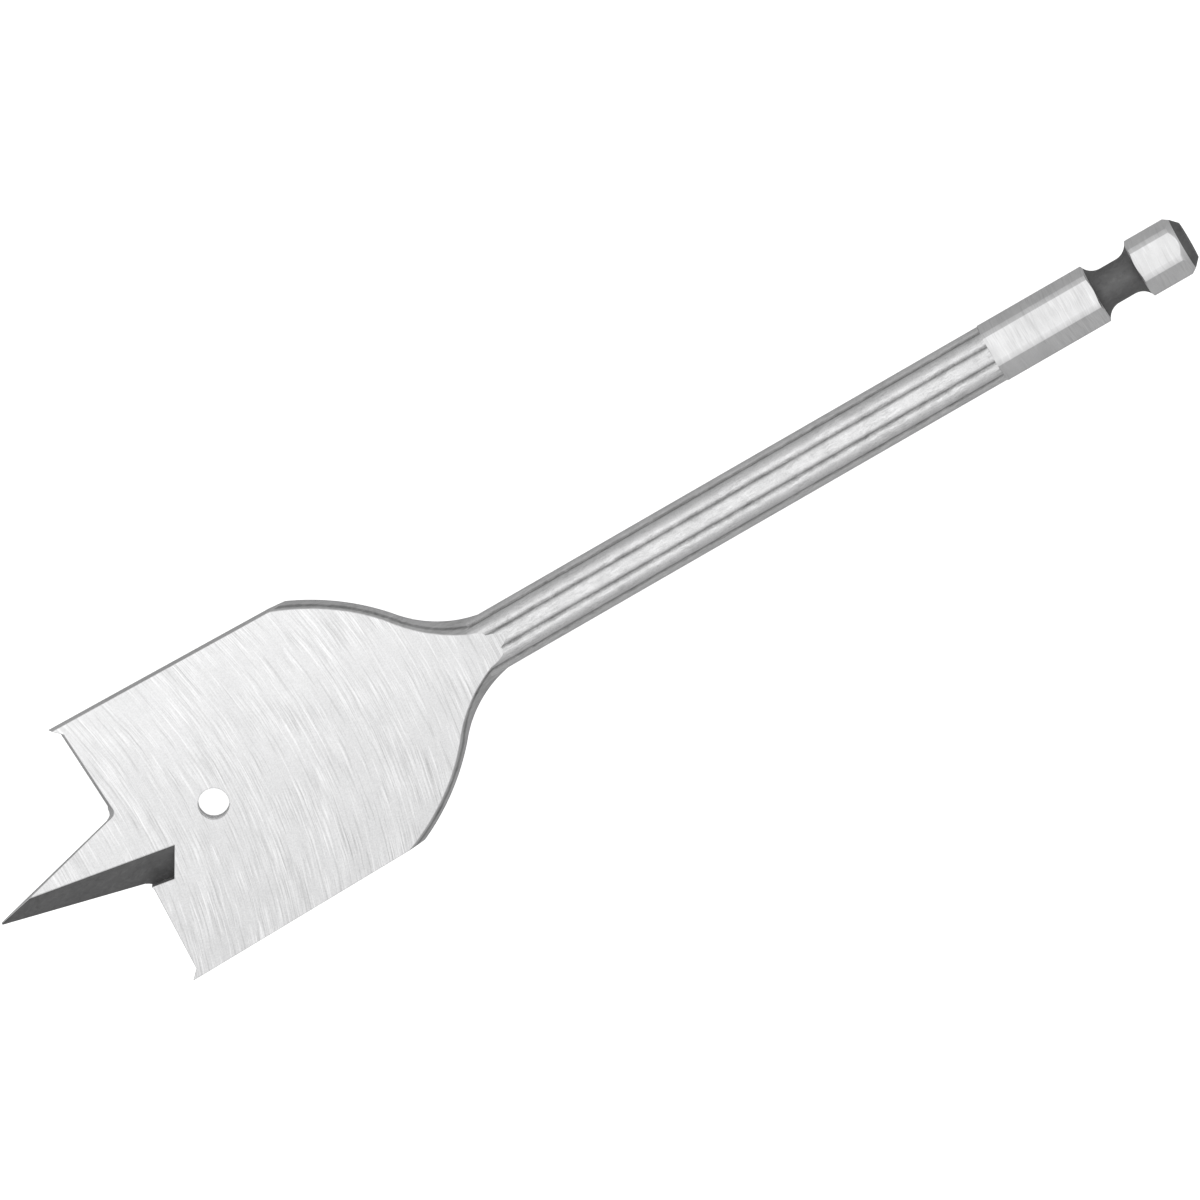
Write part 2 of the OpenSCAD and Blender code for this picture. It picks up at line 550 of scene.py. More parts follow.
@dataclass(frozen=True)
class PaintedShadeBands(Effect):
    """Painted shade, by place on the bit: darker tone in the reeds' valleys and a rim crease.

    Attributes:
        uneven: How the bands waver.
        uneven_w: How far they waver.
        line_waver: How much more the line on the rims wavers.
        valley_step: The distance from the axis at which the valleys between the reeds end.
        blade_h: The height of the line along the blade.
        neck_start: Where the line starts to rise towards the shaft.
        neck_end: Where it ends.
        neck_step: Its height there, which differs on the two sides of a rim.
        line_step: The distance from the line's middle at which it ends.
    """

    uneven: Pattern = Pattern((0.8, 2.5, 2.5), 2.0, 0.5)
    uneven_w: float = 0.06
    line_waver: float = 3.0
    valley_step: Step = Step(3.27, 3.41, 1.0, 0.0)
    blade_h: float = 1.02
    neck_start: float = 54.5
    neck_end: float = 61.0
    neck_step: Step = Step(-1.0, 1.0, 2.27, 1.5)
    line_step: Step = Step(0.06, 0.3, 1.0, 0.0)

    def build(self) -> bpy.types.NodeTree:
        """Builds the group.

        Returns:
            The group: painted shade masks for the reeds' valleys and for a crease on the rims.
        """
        sheet, source, result = self.start("painted_shade_bands", ("Valley", "Line"))
        vector = source.outputs["Vector"]
        along, across, upward = sheet.node("SeparateXYZ", {0: vector}).outputs
        squares = [sheet.math("MULTIPLY", part, part) for part in (across, upward)]
        radius = sheet.math("SQRT", sheet.math("ADD", *squares))
        waver = sheet.centred(sheet.noise(vector, self.uneven), self.uneven_w)
        # Painted shade in the valleys between the reeds
        valley = sheet.step(sheet.math("ADD", radius, waver), self.valley_step)
        # Painted shade along a crease line on the rims
        more = sheet.math("MULTIPLY", waver, self.line_waver)
        height = sheet.math("ADD", sheet.math("ABSOLUTE", upward), more)
        neck_h = sheet.step(sheet.math("MULTIPLY", across, upward), self.neck_step)
        rise = {0: along, 1: self.neck_start, 2: self.neck_end, 3: self.blade_h, 4: neck_h}
        middle = sheet.node("MapRange", rise).outputs[0]
        off_line = sheet.math("ABSOLUTE", sheet.math("SUBTRACT", height, middle))
        links = sheet.tree.links
        links.new(valley, result.inputs["Valley"])
        links.new(sheet.step(off_line, self.line_step), result.inputs["Line"])
        return sheet.tree


@dataclass(frozen=True)
class SteelGrain(Effect):
    """The even grain of steel and the soft clouds of handling, in millimetres.

    Attributes:
        speckle: The grain.
        speckle_step: Its contrast.
        cloud: The clouds.
        cloud_step: Their contrast.
    """

    speckle: Pattern = Pattern((7.0, 7.0, 7.0), 3.0, 0.6)
    speckle_step: Step = Step(0.28, 0.72)
    cloud: Pattern = Pattern((0.22, 0.22, 0.22), 3.0, 0.55)
    cloud_step: Step = Step(0.3, 0.7)

    def build(self) -> bpy.types.NodeTree:
        """Builds the group.

        Returns:
            The group, with speckle and clouds.
        """
        sheet, source, result = self.start("steel_grain", ("Speckle", "Cloud"))
        vector = source.outputs["Vector"]
        speckle = sheet.step(sheet.noise(vector, self.speckle), self.speckle_step)
        cloud = sheet.step(sheet.noise(vector, self.cloud), self.cloud_step)
        sheet.tree.links.new(speckle, result.inputs["Speckle"])
        sheet.tree.links.new(cloud, result.inputs["Cloud"])
        return sheet.tree


class Effects:
    """The node groups of all the effects."""

    def __init__(self) -> None:
        """Builds the groups."""
        self.marks = WheelMarks().build()
        self.bands = PaintedShadeBands().build()
        self.grain = SteelGrain().build()


class Marks(Enum):
    """Which way the marks of a finish run."""

    ARCS = "arcs across the blade"
    ALONG = "along the axis"
    ACROSS = "square to the axis"
    EVEN = "no direction"


@dataclass(frozen=True)
class Weights:
    """How much each effect counts for the tone of a finish, in the order of their outputs."""

    fine: float = 0.45
    broad: float = 0.3
    scratch: float = 0.25
    speckle: float = 0.15
    cloud: float = 0.2


@dataclass(frozen=True)
class Steel:
    """A steel finish: its two tones, its gloss, and the marks that its making left.

    Attributes:
        name: The name of the material.
        dark: The tone of the deepest marks.
        light: The tone of the lightest ones.
        roughness: The middle of the roughness.
        marks: Which way the marks run.
        spread: How much the roughness changes with the marks.
        per_mm: How many marks there are in a millimetre.
        length: The length of a mark in millimetres.
        depth: The depth of the marks in millimetres.
        weights: How much each effect counts for the tone.
        metallic: How far the surface is bare metal.
        blue: The faint blue of steel, as a factor on the tone.
        arc_r: The radius of the arcs that the grinding wheel leaves.
        arc_y: How far the crown of the arcs lies from the axis.
        valley: How much painted shade darkens the valleys between the reeds.
        line: How much painted shade darkens the crease line along the rims.
        slope: The painted light gradient: how much lighter one side edge is than the middle.
        side_y: How far the side edge lies from the axis.
    """

    name: str
    dark: float
    light: float
    roughness: float
    marks: Marks
    spread: float = 0.10
    per_mm: float = 4.5
    length: float = 7.0
    depth: float = 0.0015
    weights: Weights = Weights()
    metallic: float = 1.0
    blue: float = 1.004
    arc_r: float = 55.0
    arc_y: float = 2.8
    valley: float = 0.0
    line: float = 0.0
    slope: float = 0.0
    side_y: float = 16.0

    @staticmethod
    def place(sheet: Sheet, roll: float, length: float) -> bpy.types.NodeSocket:
        """Reads the place on the bit, as it was before the bit was laid down.

        Args:
            sheet: The material's sheet.
            roll: The roll of the bit at rest, in degrees.
            length: The length of the bit, in millimetres.

        Returns:
            The place, in millimetres from the tip.
        """
        inputs = {
            "Vector": sheet.node("TexCoord").outputs["Object"],
            "Location": (length, 0, 0),
            "Rotation": (math.radians(-roll), 0, 0),
            "Scale": (1 / MM, 1 / MM, 1 / MM),
        }
        return sheet.node("Mapping", inputs).outputs[0]

    def direction(self, sheet: Sheet, place: bpy.types.NodeSocket) -> bpy.types.NodeSocket:
        """Turns a place on the bit into the vector that the marks are drawn on.

        Args:
            sheet: The material's sheet.
            place: The place on the bit.

        Returns:
            The vector, with X across the marks.
        """
        fine, coarse = self.per_mm, 1 / self.length
        if self.marks is Marks.EVEN:
            return sheet.scaled(place, (fine, fine, fine))
        if self.marks is Marks.ACROSS:
            return sheet.scaled(place, (fine, coarse, coarse))
        along, across, upward = sheet.node("SeparateXYZ", {0: place}).outputs
        if self.marks is Marks.ALONG:
            turned = sheet.node("CombineXYZ", {0: across, 1: along, 2: upward}).outputs[0]
            return sheet.scaled(turned, (fine, coarse, fine))
        off = sheet.math("SUBTRACT", across, self.arc_y)
        sag = sheet.math("DIVIDE", sheet.math("MULTIPLY", off, off), 2 * self.arc_r)
        on_arc = sheet.math("ADD", along, sag)
        bent = sheet.node("CombineXYZ", {0: on_arc, 1: across, 2: upward}).outputs[0]
        return sheet.scaled(bent, (fine, coarse, coarse))

    def tone(
        self, sheet: Sheet, effects: Effects, place: bpy.types.NodeSocket
    ) -> bpy.types.NodeSocket:
        """Adds up the marks and the grain.

        Args:
            sheet: The material's sheet.
            effects: The node groups.
            place: The place on the bit.

        Returns:
            The tone, which is 0 in the deepest marks and 1 in the lightest.
        """
        marks = sheet.group(effects.marks, self.direction(sheet, place))
        grain = sheet.group(effects.grain, place)
        tone: object = MIDDLE
        for share, weight in zip((*marks, *grain), astuple(self.weights)):
            tone = sheet.math("ADD", tone, sheet.centred(share, weight))
        return tone

    def tint(
        self,
        sheet: Sheet,
        effects: Effects,
        place: bpy.types.NodeSocket,
        tone: bpy.types.NodeSocket,
    ) -> bpy.types.NodeSocket:
        """Paints shade in the reed valleys and rim crease, and a light gradient across the blade.

        Args:
            sheet: The material's sheet.
            effects: The node groups.
            place: The place on the bit.
            tone: The tone of the marks and the grain.

        Returns:
            The tone for the colour.
        """
        # Painted shade: darker in the reeds' valleys and along the rims' crease
        if self.valley or self.line:
            bands = sheet.group(effects.bands, place)
            for share, weight in zip(bands, (self.valley, self.line)):
                tone = sheet.math("SUBTRACT", tone, sheet.math("MULTIPLY", share, weight))
        # Painted light: one side of the blade lighter than the other, as the light falls
        if self.slope:
            across = sheet.node("SeparateXYZ", {0: place}).outputs[1]
            painted_light_grade = sheet.math("MULTIPLY", across, self.slope / self.side_y)
            tone = sheet.math("ADD", tone, painted_light_grade)
        return tone

    def colour(self, level: float) -> tuple[float, float, float, float]:
        """Returns the colour of steel at a level of grey."""
        return level, level, level * self.blue, 1

    def make(self, effects: Effects, roll: float, length: float) -> bpy.types.Material:
        """Builds the material.

        Args:
            effects: The node groups.
            roll: The roll of the bit at rest, in degrees.
            length: The length of the bit, in millimetres.

        Returns:
            The new material.
        """
        material = bpy.data.materials.new(self.name)
        material.use_nodes = True
        sheet = Sheet(material.node_tree)
        shader = material.node_tree.nodes["Principled BSDF"]
        shader.inputs["Metallic"].default_value = self.metallic
        place = self.place(sheet, roll, length)
        tone = self.tone(sheet, effects, place)
        tint = self.tint(sheet, effects, place, tone)
        tones = {"Factor": tint, "A": self.colour(self.dark), "B": self.colour(self.light)}
        mixed = sheet.node("Mix", tones, data_type="RGBA", clamp_factor=False)
        half = self.spread / 2
        gloss = Step(0.0, 1.0, self.roughness + half, self.roughness - half)
        bump = sheet.node("Bump", {"Strength": 1.0, "Distance": self.depth * MM, "Height": tone})
        links = sheet.tree.links
        links.new(next(o for o in mixed.outputs if o.type == "RGBA"), shader.inputs["Base Color"])
        links.new(sheet.step(tone, gloss), shader.inputs["Roughness"])
        links.new(bump.outputs[0], shader.inputs["Normal"])
        return material


@dataclass(frozen=True)
class Finishes:
    """The finishes of the bit, one for each way that its surfaces are made."""

    face: bpy.types.Material
    rim: bpy.types.Material
    edge: bpy.types.Material
    relief: bpy.types.Material
    dark: bpy.types.Material
    reed: bpy.types.Material
    flat: bpy.types.Material
    bore: bpy.types.Material

    @classmethod
    def make(cls, roll: float, length: float) -> "Finishes":
        """Builds all the finishes.

        Args:
            roll: The roll of the bit at rest, in degrees.
            length: The length of the bit, in millimetres.

        Returns:
            The finishes.
        """
        effects = Effects()
        steels = {
            "face": Steel(
                "ground_face", dark=0.71, light=0.95, roughness=0.36, marks=Marks.ARCS,
                # slope paints a light gradient across the ground faces
                per_mm=8.0, length=5.0, slope=0.36,
                weights=Weights(fine=0.75, broad=0.08, scratch=0.4, speckle=0.4, cloud=0.12),
            ),
            "rim": Steel(
                "forged_rim", dark=0.56, light=0.82, roughness=0.40, marks=Marks.ALONG,
                # line paints shade along a crease on the rims
                per_mm=3.0, line=1.1,
            ),
            "edge": Steel(
                "ground_edge", dark=0.66, light=0.86, roughness=0.38, marks=Marks.ALONG
            ),
            "relief": Steel(
                "relief_grind", dark=0.62, light=0.82, roughness=0.36, marks=Marks.ALONG
            ),
            "dark": Steel(
                "dark_finish", dark=0.12, light=0.17, roughness=0.50, marks=Marks.EVEN,
                metallic=0.6, per_mm=2.0,
            ),
            "reed": Steel(
                "rolled_reeds", dark=0.65, light=0.93, roughness=0.34, marks=Marks.ALONG,
                # valley paints shade into the valleys between the reeds
                per_mm=5.0, length=1.2, valley=1.5,
                weights=Weights(fine=0.6, broad=0.25, scratch=0.2, speckle=0.5, cloud=0.2),
            ),
            "flat": Steel(
                "hex_flats", dark=0.69, light=0.93, roughness=0.34, marks=Marks.ACROSS,
                per_mm=6.0, length=3.0,
            ),
            "bore": Steel(
                "drilled_bore", dark=0.93, light=0.99, roughness=0.40, marks=Marks.EVEN,
                metallic=0.0,
            ),
        }
        return cls(**{part: steel.make(effects, roll, length) for part, steel in steels.items()})


@dataclass(frozen=True)
class Blade:
    """The forged paddle with its shoulders, ground faces, point, cutting edges and hole.

    Attributes:
        cut_r: Half of the width over the spurs.
        thickness: The distance between the ground faces.
        edge_l: The length of the side edges.
        back_taper: The angle by which the side edges draw in.
        hole_r: The radius of the hole.
        hole_setback: The distance of the hole behind the lips.
        hole_sides: The number of sides of the hole.
        point_l: The length of the point.
        point_angle: Half of the point's angle.
        tip_w: The width of the tip.
        corner_r: The radius in the corner between point and lip.
        corner_steps: The number of sides in that corner.
        hollow_cross: Where the edge of a hollow crosses the axis.
        hollow_skew: The angle of that edge to the axis.
        hollow_l: The length of a hollow behind the crossing.
        hollow_w: The width of a hollow.
        hollow_slope: The slope of its floor.
        hollow_end_angle: The angle of its end.
        spur_h: The height of the spurs.
        spur_w: Their width.
        edge_lean: The angle by which the lips lean.
        relief: The relief angle behind the lips.
        shoulder_l: The length of the shoulders.
        shoulder_room: How far the cutter of a shoulder reaches, as a share of its two radii.
        outer_r: The radius of a shoulder's outer arc.
        outer_sides: The number of sides of the whole outer circle.
        inner_r: The radius of its inner arc.
        inner_sides: The number of sides of the whole inner circle.
        inner_lap: How far the cutter of the inner arc laps over the outer one.
        rim_land: The thickness of the square land along the rims.
        rim_draft: The draft angle beside the land.
        rim_top: Half of the thickness of the forging.
        ramp_setback: Where the faces start to ramp up, behind the start of the shoulders.
        ramp_r: The radius of the ramps.
        ramp_sweep: The angle that the cutter of a ramp sweeps.
        ramp_steps: The number of sides in it.
        neck_y: Half of the width at the neck.
        web_w: The width of the webs at the root of the point.
        web_setback: Their distance behind the faces.
        web_h: The height of their brows.
        web_slope: The slope of their brows.
        web_turn: The way that the webs face.
    """

    cut_r: float = 16.0
    thickness: float = 3.0
    edge_l: float = 30.2
    back_taper: float = 1.1
    hole_r: float = 1.75
    hole_setback: float = 12.1
    hole_sides: int = 96
    point_l: float = 15.1
    point_angle: float = 14.7
    tip_w: float = 0.22
    corner_r: float = 0.7
    corner_steps: int = 12
    hollow_cross: float = 10.8
    hollow_skew: float = 9.7
    hollow_l: float = 10.5
    hollow_w: float = 3.6
    hollow_slope: float = 33.0
    hollow_end_angle: float = 21.0
    spur_h: float = 1.1
    spur_w: float = 1.0
    edge_lean: float = 2.6
    relief: float = 10.0
    shoulder_l: float = 20.2
    shoulder_room: float = 1.3
    outer_r: float = 28.0
    outer_sides: int = 512
    inner_r: float = 13.5
    inner_sides: int = 384
    inner_lap: float = 0.01
    rim_land: float = 0.7
    rim_draft: float = 33.0
    rim_top: float = 2.889
    ramp_setback: float = 5.3
    ramp_r: float = 51.0
    ramp_sweep: float = 19.0
    ramp_steps: int = 48
    neck_y: float = 3.155
    web_w: float = 0.8
    web_setback: float = 0.05
    web_h: float = 0.8
    web_slope: float = 56.0
    web_turn: float = 135.0

    @property
    def half_t(self) -> float:
        """Half of the thickness."""
        return self.thickness / 2

    @property
    def shoulder_u(self) -> float:
        """Where the shoulders start."""
        return self.point_l + self.edge_l

    @property
    def neck_u(self) -> float:
        """Where the shoulders end at the shaft."""
        return self.shoulder_u + self.shoulder_l

    def edge_y(self, u: float) -> float:
        """Half width between the tapered side edges at a distance from the tip."""
        return self.cut_r - (u - self.point_l) * tangent(self.back_taper)

    def arc_centres(self) -> tuple[Vector, Vector]:
        """Finds the centres of a shoulder's two arcs, which are tangent to each other.

        Returns:
            The centres of the outer and of the inner arc.
        """
        start = Vector((self.shoulder_u, self.edge_y(self.shoulder_u), 0))
        inner = Vector((self.neck_u, self.neck_y + self.inner_r, 0))
        span = self.outer_r + self.inner_r
        way = (inner - start).normalized()
        reach = (inner - start).length
        along = (self.outer_r**2 - span**2 + reach**2) / (2 * reach)
        down = math.sqrt(self.outer_r**2 - along**2)
        return start + along * way + down * Vector((way.y, -way.x, 0)), inner

    def drafted_disc(
        self,
        name: str,
        centre: Vector,
        radius: float,
        slope: float,
        sides: int,
        finish: bpy.types.Material,
    ) -> bpy.types.Object:
        """Makes a disc with a square land round its middle and a drafted wall on either side.

        Args:
            name: The name of the disc.
            centre: Its centre.
            radius: The radius of its land.
            slope: How much the radius changes for each millimetre above the land.
            sides: The number of sides.
            finish: The material of its faces.

        Returns:
            The disc.
        """
        land, top = self.rim_land / 2, self.rim_top + OVER
        wide = radius + slope * (top - land)
        profile = [(wide, -top), (radius, -land), (radius, land), (wide, top)]
        return Workshop.place(Workshop.turned(name, profile, sides, finish), move=centre)

    def blank(self, finish: Finishes) -> bpy.types.Object:
        """Makes the forged paddle, with straight tapered sides.

        Args:
            finish: The finishes of the bit.

        Returns:
            The paddle, before its shoulders are cut.
        """
        wide = self.cut_r + 2 * OVER
        top = self.rim_top
        paddle = Workshop.block("paddle", (0, -wide, -top), (self.neck_u, wide, top), finish.edge)
        for side in (1, -1):
            outward = direction(side * (90 - self.back_taper))
            Workshop.trim(paddle, (self.point_l, side * self.cut_r, 0), outward)
        return paddle

    def cut_shoulders(self, paddle: bpy.types.Object, finish: Finishes) -> None:
        """Cuts the round shoulders with their drafted rims.

        Args:
            paddle: The paddle.
            finish: The finishes of the bit.
        """
        outer, inner = self.arc_centres()
        slope = tangent(self.rim_draft)
        top = self.rim_top + OVER / 2
        reach = self.shoulder_room * (self.outer_r + self.inner_r)
        corner = Workshop.block(
            "outer_corner",
            (outer.x, outer.y, -top),
            (outer.x + reach, outer.y + reach, top),
            finish.rim,
        )
        way = (inner - outer).normalized()
        Workshop.trim(corner, outer, (way.y, -way.x, 0))
        disc = self.drafted_disc(
            "outer_disc", outer, self.outer_r, -slope, self.outer_sides, finish.rim
        )
        Workshop.combine(corner, disc, Cut.REMOVE)
        hollow = self.drafted_disc(
            "inner_disc", inner, self.inner_r + self.inner_lap, slope, self.inner_sides, finish.rim
        )
        Workshop.combine(corner, hollow, Cut.ADD)
        Workshop.both_sides(paddle, corner)

    def face_wheel(self, finish: Finishes) -> bpy.types.Object:
        """Makes what the grinding of one face takes off: a flat that ramps up to the shaft.

        Args:
            finish: The finishes of the bit.

        Returns:
            The cutter.
        """
        start, foot = -3 * OVER, self.shoulder_u + self.ramp_setback
        wide = 2 * self.cut_r + 6 * OVER
        Workshop.clear()
        bpy.ops.mesh.primitive_plane_add(size=1, location=((start + foot) / 2, 0, self.half_t))
        bpy.context.object.scale = (foot - start, wide, 1)
        wheel = Workshop.name_new("face_wheel", finish.face)
        points = wheel.data.vertices
        at_foot = {point.index for point in points if abs(point.co.x - foot) < NEAR}
        Workshop.select_edges(wheel, lambda edge: at_foot.issuperset(edge.vertices))
        bpy.ops.mesh.spin(
            steps=self.ramp_steps,
            angle=math.radians(self.ramp_sweep),
            center=(foot, 0, self.half_t + self.ramp_r),
            axis=(0, 1, 0),
        )
        bpy.ops.mesh.select_all(action="SELECT")
        bpy.ops.mesh.remove_doubles(threshold=NEAR / 2)
        Workshop.extrude_up(12 * OVER)
        return Workshop.done(wheel)

    def inner_corner(self) -> Vector:
        """Finds the corner between the side of the point and the lip, on the wing's cutter.

        Returns:
            The corner, before it is rounded.
        """
        lean = math.cos(math.radians(self.relief))
        back = (self.point_l + self.half_t * tangent(self.relief)) * lean
        back += self.tip_w / 2 / tangent(self.point_angle)
        side, lip = tangent(self.point_angle), tangent(self.edge_lean)
        root_y = self.cut_r - self.spur_w
        inner_x = (self.spur_h + (root_y - back * side) * lip) / (1 + side * lip)
        return Vector((inner_x, (inner_x + back) * side, 0))

    def wing_wheel(self, finish: Finishes, lean: float) -> bpy.types.Object:
        """Makes what is ground off ahead of one wing: beside the point and in front of the lip.

        Args:
            finish: The finishes of the bit.
            lean: The angle that the cutter leans back by.

        Returns:
            The cutter.
        """
        root = Vector((self.spur_h, self.cut_r - self.spur_w, 0))
        corner = self.inner_corner()
        reach = self.point_l + 4 * OVER
        wheel = Workshop.block(
            "wing_wheel",
            (-reach, -3 * OVER, -reach / 2),
            (corner.x + 3 * OVER, self.cut_r + 5 * OVER, reach / 2),
            finish.relief,
        )
        Workshop.trim(wheel, corner, direction(self.point_angle - 90))
        Workshop.trim(wheel, corner, direction(self.edge_lean))
        Workshop.trim(wheel, root, (self.spur_w, self.spur_h, 0))
        half_corner = (90 + self.point_angle - self.edge_lean) / 2
        points = wheel.data.vertices
        in_corner = {p.index for p in points if (p.co.xy - corner.xy).length < NEAR}
        Workshop.select_edges(wheel, lambda edge: in_corner.issuperset(edge.vertices))
        bpy.ops.mesh.bevel(
            offset=self.corner_r / tangent(half_corner), segments=self.corner_steps, affect="EDGES"
        )
        Workshop.done(wheel)
        return Workshop.place(wheel, turn=(0, lean, 0), move=(self.point_l, 0, -self.half_t))

    def root_web(self, finish: Finishes) -> bpy.types.Object:
        """Makes the web at the root of the point, where the relief is not ground into the corner.

        Args:
            finish: The finishes of the bit.

        Returns:
            The web, upright behind the cutting edge.
        """
        corner = self.inner_corner() + Vector((self.point_l, 0, 0))
        wide, high = self.web_w, self.half_t - self.web_setback
        web = Workshop.block(
            "root_web",
            (corner.x - 2 * wide, corner.y - wide, -high),
            (corner.x + wide, corner.y + 2 * wide, high),
            finish.relief,
        )
        outward = direction(self.web_turn)
        Workshop.trim(web, (corner.x, corner.y + wide, 0), outward)
        steep = math.radians(self.web_slope)
        brow = corner + wide / 4 * outward + Vector((0, 0, self.web_h))
        Workshop.trim(web, brow, math.sin(steep) * outward + Vector((0, 0, math.cos(steep))))
        Workshop.combine(web, self.wing_wheel(finish, 0), Cut.REMOVE)
        return web

    def hollow_wheel(self, finish: Finishes) -> bpy.types.Object:
        """Makes what is ground out of one face of the point.

        Args:
            finish: The finishes of the bit.

        Returns:
            The cutter.
        """
        reach = self.hollow_cross + 4 * OVER
        end = math.radians(self.hollow_end_angle)
        slope = math.radians(self.hollow_slope)
        wheel = Workshop.block(
            "hollow_wheel",
            (-reach, -self.hollow_w, -3 * OVER),
            (self.hollow_l + 3 * OVER, OVER, 3 * OVER),
            finish.dark,
        )
        Workshop.trim(wheel, (self.hollow_l, 0, 0), (math.cos(end), -math.sin(end), 0))
        Workshop.trim(wheel, (0, 0, 0), (0, math.sin(slope), -math.cos(slope)))
        Workshop.assign(wheel, finish.relief, lambda face: abs(face.normal.z) < UPRIGHT)
        return Workshop.place(
            wheel, turn=(0, 0, -self.hollow_skew), move=(self.hollow_cross, 0, self.half_t)
        )

    def grind(self, bit: bpy.types.Object, finish: Finishes) -> None:
        """Grinds the faces, wings and hollows of both sides, and drills the hole.

        Args:
            bit: The forging, with its shaft.
            finish: The finishes of the bit.
        """
        Workshop.both_sides(bit, self.face_wheel(finish))
        Workshop.both_sides(bit, self.wing_wheel(finish, self.relief))
        Workshop.both_sides(bit, self.root_web(finish), Cut.ADD)
        Workshop.both_sides(bit, self.hollow_wheel(finish))
        Workshop.clear()
        bpy.ops.mesh.primitive_cylinder_add(
            vertices=self.hole_sides,
            radius=self.hole_r,
            depth=3 * self.thickness,
            location=(self.point_l + self.hole_setback, 0, 0),
        )
        Workshop.combine(bit, Workshop.name_new("drill", finish.bore), Cut.REMOVE)


@dataclass(frozen=True)
class Shaft:
    """The round shaft, with reeds rolled along it.

    Attributes:
        radius: The radius over the reeds.
        reeds: The number of reeds.
        reed_r: The radius of each reed.
        reed_turn: The turn of the reeds about the axis.
        arc_steps: The number of sides of each reed.
        weld: The distance within which the ends of two reeds' arcs are joined.
        taper_l: The length of the reeds' tapered ends.
        taper_r: The radius at the end of the taper.
        taper_sides: The number of sides of the taper.
    """

    radius: float = 3.47
    reeds: int = 10
    reed_r: float = 1.55
    reed_turn: float = -6.0
    arc_steps: int = 14
    weld: float = 0.01
    taper_l: float = 0.3
    taper_r: float = 3.445
    taper_sides: int = 192

    @property
    def centre_r(self) -> float:
        """The distance of the reeds' centres from the axis."""
        return self.radius - self.reed_r

    def half_arc(self) -> float:
        """Finds half of the angle that one reed spans about its own centre.

        Returns:
            The angle, in radians.
        """
        half_pitch = math.pi / self.reeds
        valley = self.centre_r * math.cos(half_pitch) + math.sqrt(
            self.reed_r**2 - (self.centre_r * math.sin(half_pitch)) ** 2
        )
        return math.atan2(
            valley * math.sin(half_pitch), valley * math.cos(half_pitch) - self.centre_r
        )

    def build(self, start: float, end: float, finish: Finishes) -> bpy.types.Object:
        """Makes the shaft: one reed's arc, repeated round the axis and drawn out along it.

        Args:
            start: Where the shaft starts, inside the blade.
            end: Where the reeds end, at the shank.
            finish: The finishes of the bit.

        Returns:
            The shaft, along +X.
        """
        half = self.half_arc()
        length = end - start
        reach = self.centre_r + self.reed_r * math.cos(half)
        Workshop.clear()
        bpy.ops.mesh.primitive_plane_add(
            size=1, location=(reach, -self.reed_r * math.sin(half), 0)
        )
        shaft = Workshop.name_new("shaft", finish.reed)
        Workshop.edit(shaft)
        bpy.ops.mesh.merge(type="CENTER")
        bpy.ops.mesh.spin(
            steps=self.arc_steps, angle=-2 * half, center=(self.centre_r, 0, 0), axis=(0, 0, 1)
        )
        bpy.ops.mesh.select_all(action="SELECT")
        bpy.ops.mesh.spin(
            steps=self.reeds, angle=2 * math.pi, dupli=True, center=(0, 0, 0), axis=(0, 0, 1)
        )
        bpy.ops.mesh.select_all(action="SELECT")
        bpy.ops.mesh.remove_doubles(threshold=self.weld)
        bpy.ops.mesh.edge_face_add()
        Workshop.extrude_up(length)
        Workshop.done(shaft)
        wide = self.radius + OVER
        run = self.taper_l * (wide - self.taper_r) / (self.radius - self.taper_r)
        profile = [(wide, -OVER), (wide, length - run), (self.taper_r, length)]
        sleeve = Workshop.turned("sleeve", profile, self.taper_sides, finish.reed)
        Workshop.combine(shaft, sleeve, Cut.KEEP_COMMON)
        Workshop.place(shaft, turn=(0, 0, 180 + self.reed_turn))
        return Workshop.place(shaft, turn=(0, 90, 0), move=(start, 0, 0))


